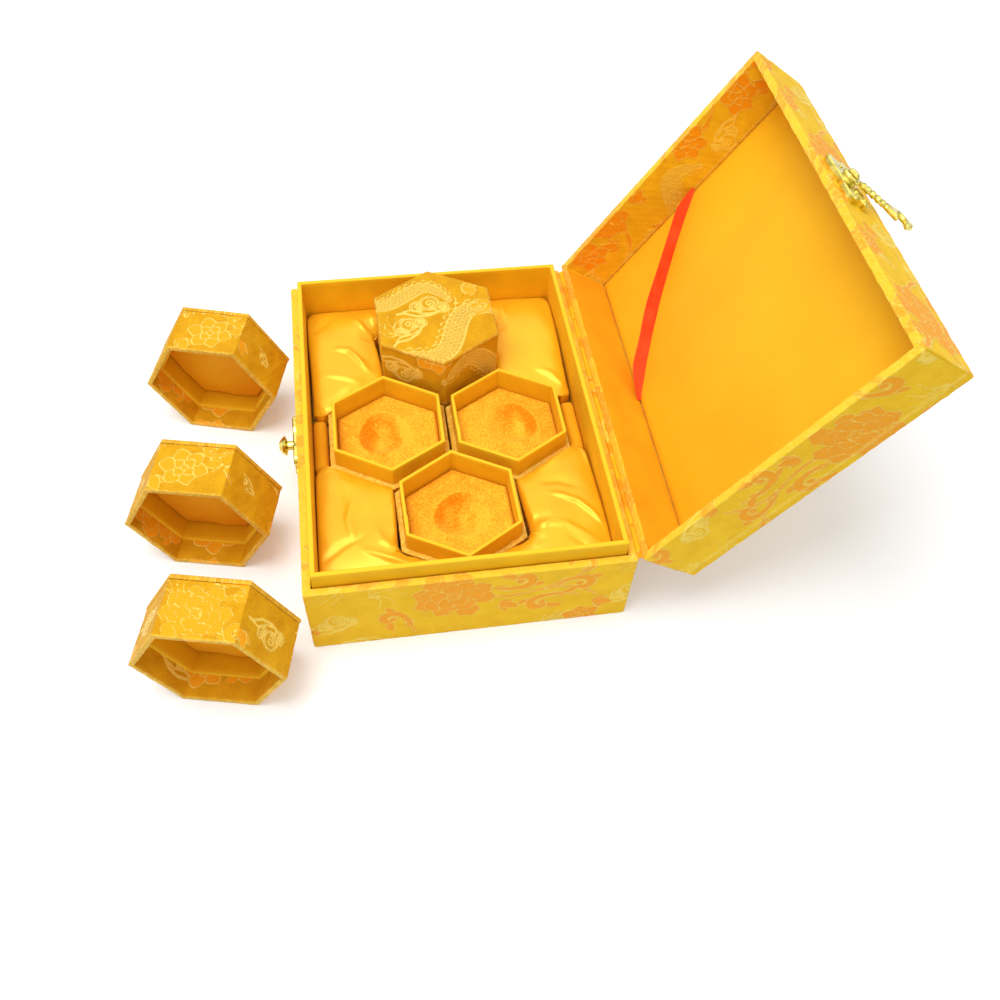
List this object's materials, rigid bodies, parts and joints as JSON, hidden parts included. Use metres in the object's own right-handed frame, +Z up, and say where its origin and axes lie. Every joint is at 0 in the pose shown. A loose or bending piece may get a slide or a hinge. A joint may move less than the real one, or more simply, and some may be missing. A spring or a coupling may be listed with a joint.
{
  "type": "brocade gift box",
  "caption": "Hinged brocade gift box with horn-hook clasp, satin insert and lidded hexagonal boxes with velvet pads, shown open with one hexagonal box closed.",
  "frame": {"origin": "centre of the base's underside, on the table", "axes": "+Z up, +X from the clasp side to the hinge side, +Y from the front end to the back end"},
  "size_m": [0.31, 0.1969, 0.1488],
  "materials": {
    "greyboard": "matt board",
    "brocade": "woven golden brocade with scrolls and flowers",
    "paper": "plain yellow covering paper",
    "satin": "golden satin",
    "velvet": "orange velvet",
    "foam": "soft foam",
    "brass": "pale polished plating",
    "ribbon": "red satin ribbon"
  },
  "bodies": {
    "box_base": {"base_board": "greyboard", "base_brocade": "brocade", "neck_frame": "paper", "foam_insert": "foam", "satin_cushion_back": "satin", "satin_cushion_front_left": "satin", "satin_cushion_front_right": "satin", "satin_roll_left": "satin", "satin_roll_right": "satin", "cloth_hinge": "brocade", "stud_plate": "brass", "stud_nails": "brass", "stud_knob": "brass"},
    "lid": {"lid_board": "greyboard", "lid_brocade": "brocade", "lid_hinge_lining": "paper", "lid_top_lining": "satin", "leaflet_ribbon": "ribbon", "clasp_plate": "brass", "clasp_nails": "brass", "clasp_rivet": "brass"},
    "clasp_hook": {"clasp_hook": "brass"},
    "cup_left": {"cup_shell_left": "brocade", "cup_neck_left": "paper", "velvet_pad_left": "velvet"},
    "cup_right": {"cup_shell_right": "brocade", "cup_neck_right": "paper", "velvet_pad_right": "velvet"},
    "cup_back": {"cup_shell_back": "brocade", "cup_neck_back": "paper", "velvet_pad_back": "velvet"},
    "cup_front": {"cup_shell_front": "brocade", "cup_neck_front": "paper", "velvet_pad_front": "velvet"},
    "cap_back": {"cap_shell_back": "brocade", "cap_top_back": "brocade", "cap_ring_back": "paper", "cap_pad_back": "satin"},
    "cap_loose_back": {"cap_shell_loose_back": "brocade", "cap_top_loose_back": "brocade", "cap_ring_loose_back": "paper", "cap_pad_loose_back": "satin"},
    "cap_loose_middle": {"cap_shell_loose_middle": "brocade", "cap_top_loose_middle": "brocade", "cap_ring_loose_middle": "paper", "cap_pad_loose_middle": "satin"},
    "cap_loose_front": {"cap_shell_loose_front": "brocade", "cap_top_loose_front": "brocade", "cap_ring_loose_front": "paper", "cap_pad_loose_front": "satin"}
  },
  "joints": [
    {"name": "lid_hinge", "type": "hinge", "parent": "box_base", "child": "lid", "pos_m": [0.0655, 0, 0.0401], "axis": [0, 1, 0], "range_deg": [-124, 0]},
    {"name": "hook_swing", "type": "hinge", "parent": "lid", "child": "clasp_hook", "pos_m": [0.14594, 0.0025, 0.14264], "axis": [0.5592, 0, 0.829], "range_deg": [-161, 40]},
    {"name": "cup_left_lift", "type": "slide", "parent": "box_base", "child": "cup_left", "axis": [0, 0, 1], "range_m": [0, 0.045]},
    {"name": "cup_right_lift", "type": "slide", "parent": "box_base", "child": "cup_right", "axis": [0, 0, 1], "range_m": [0, 0.045]},
    {"name": "cup_back_lift", "type": "slide", "parent": "box_base", "child": "cup_back", "axis": [0, 0, 1], "range_m": [0, 0.045]},
    {"name": "cup_front_lift", "type": "slide", "parent": "box_base", "child": "cup_front", "axis": [0, 0, 1], "range_m": [0, 0.045]},
    {"name": "cap_back_lift", "type": "slide", "parent": "cup_back", "child": "cap_back", "axis": [0, 0, 1], "range_m": [0, 0.03]},
    {"name": "cap_loose_back_lift", "type": "slide", "parent": "box_base", "child": "cap_loose_back", "axis": [0, 0, 1], "range_m": [0, 0.05]},
    {"name": "cap_loose_middle_lift", "type": "slide", "parent": "box_base", "child": "cap_loose_middle", "axis": [0, 0, 1], "range_m": [0, 0.05]},
    {"name": "cap_loose_front_lift", "type": "slide", "parent": "box_base", "child": "cap_loose_front", "axis": [0, 0, 1], "range_m": [0, 0.05]}
  ]
}
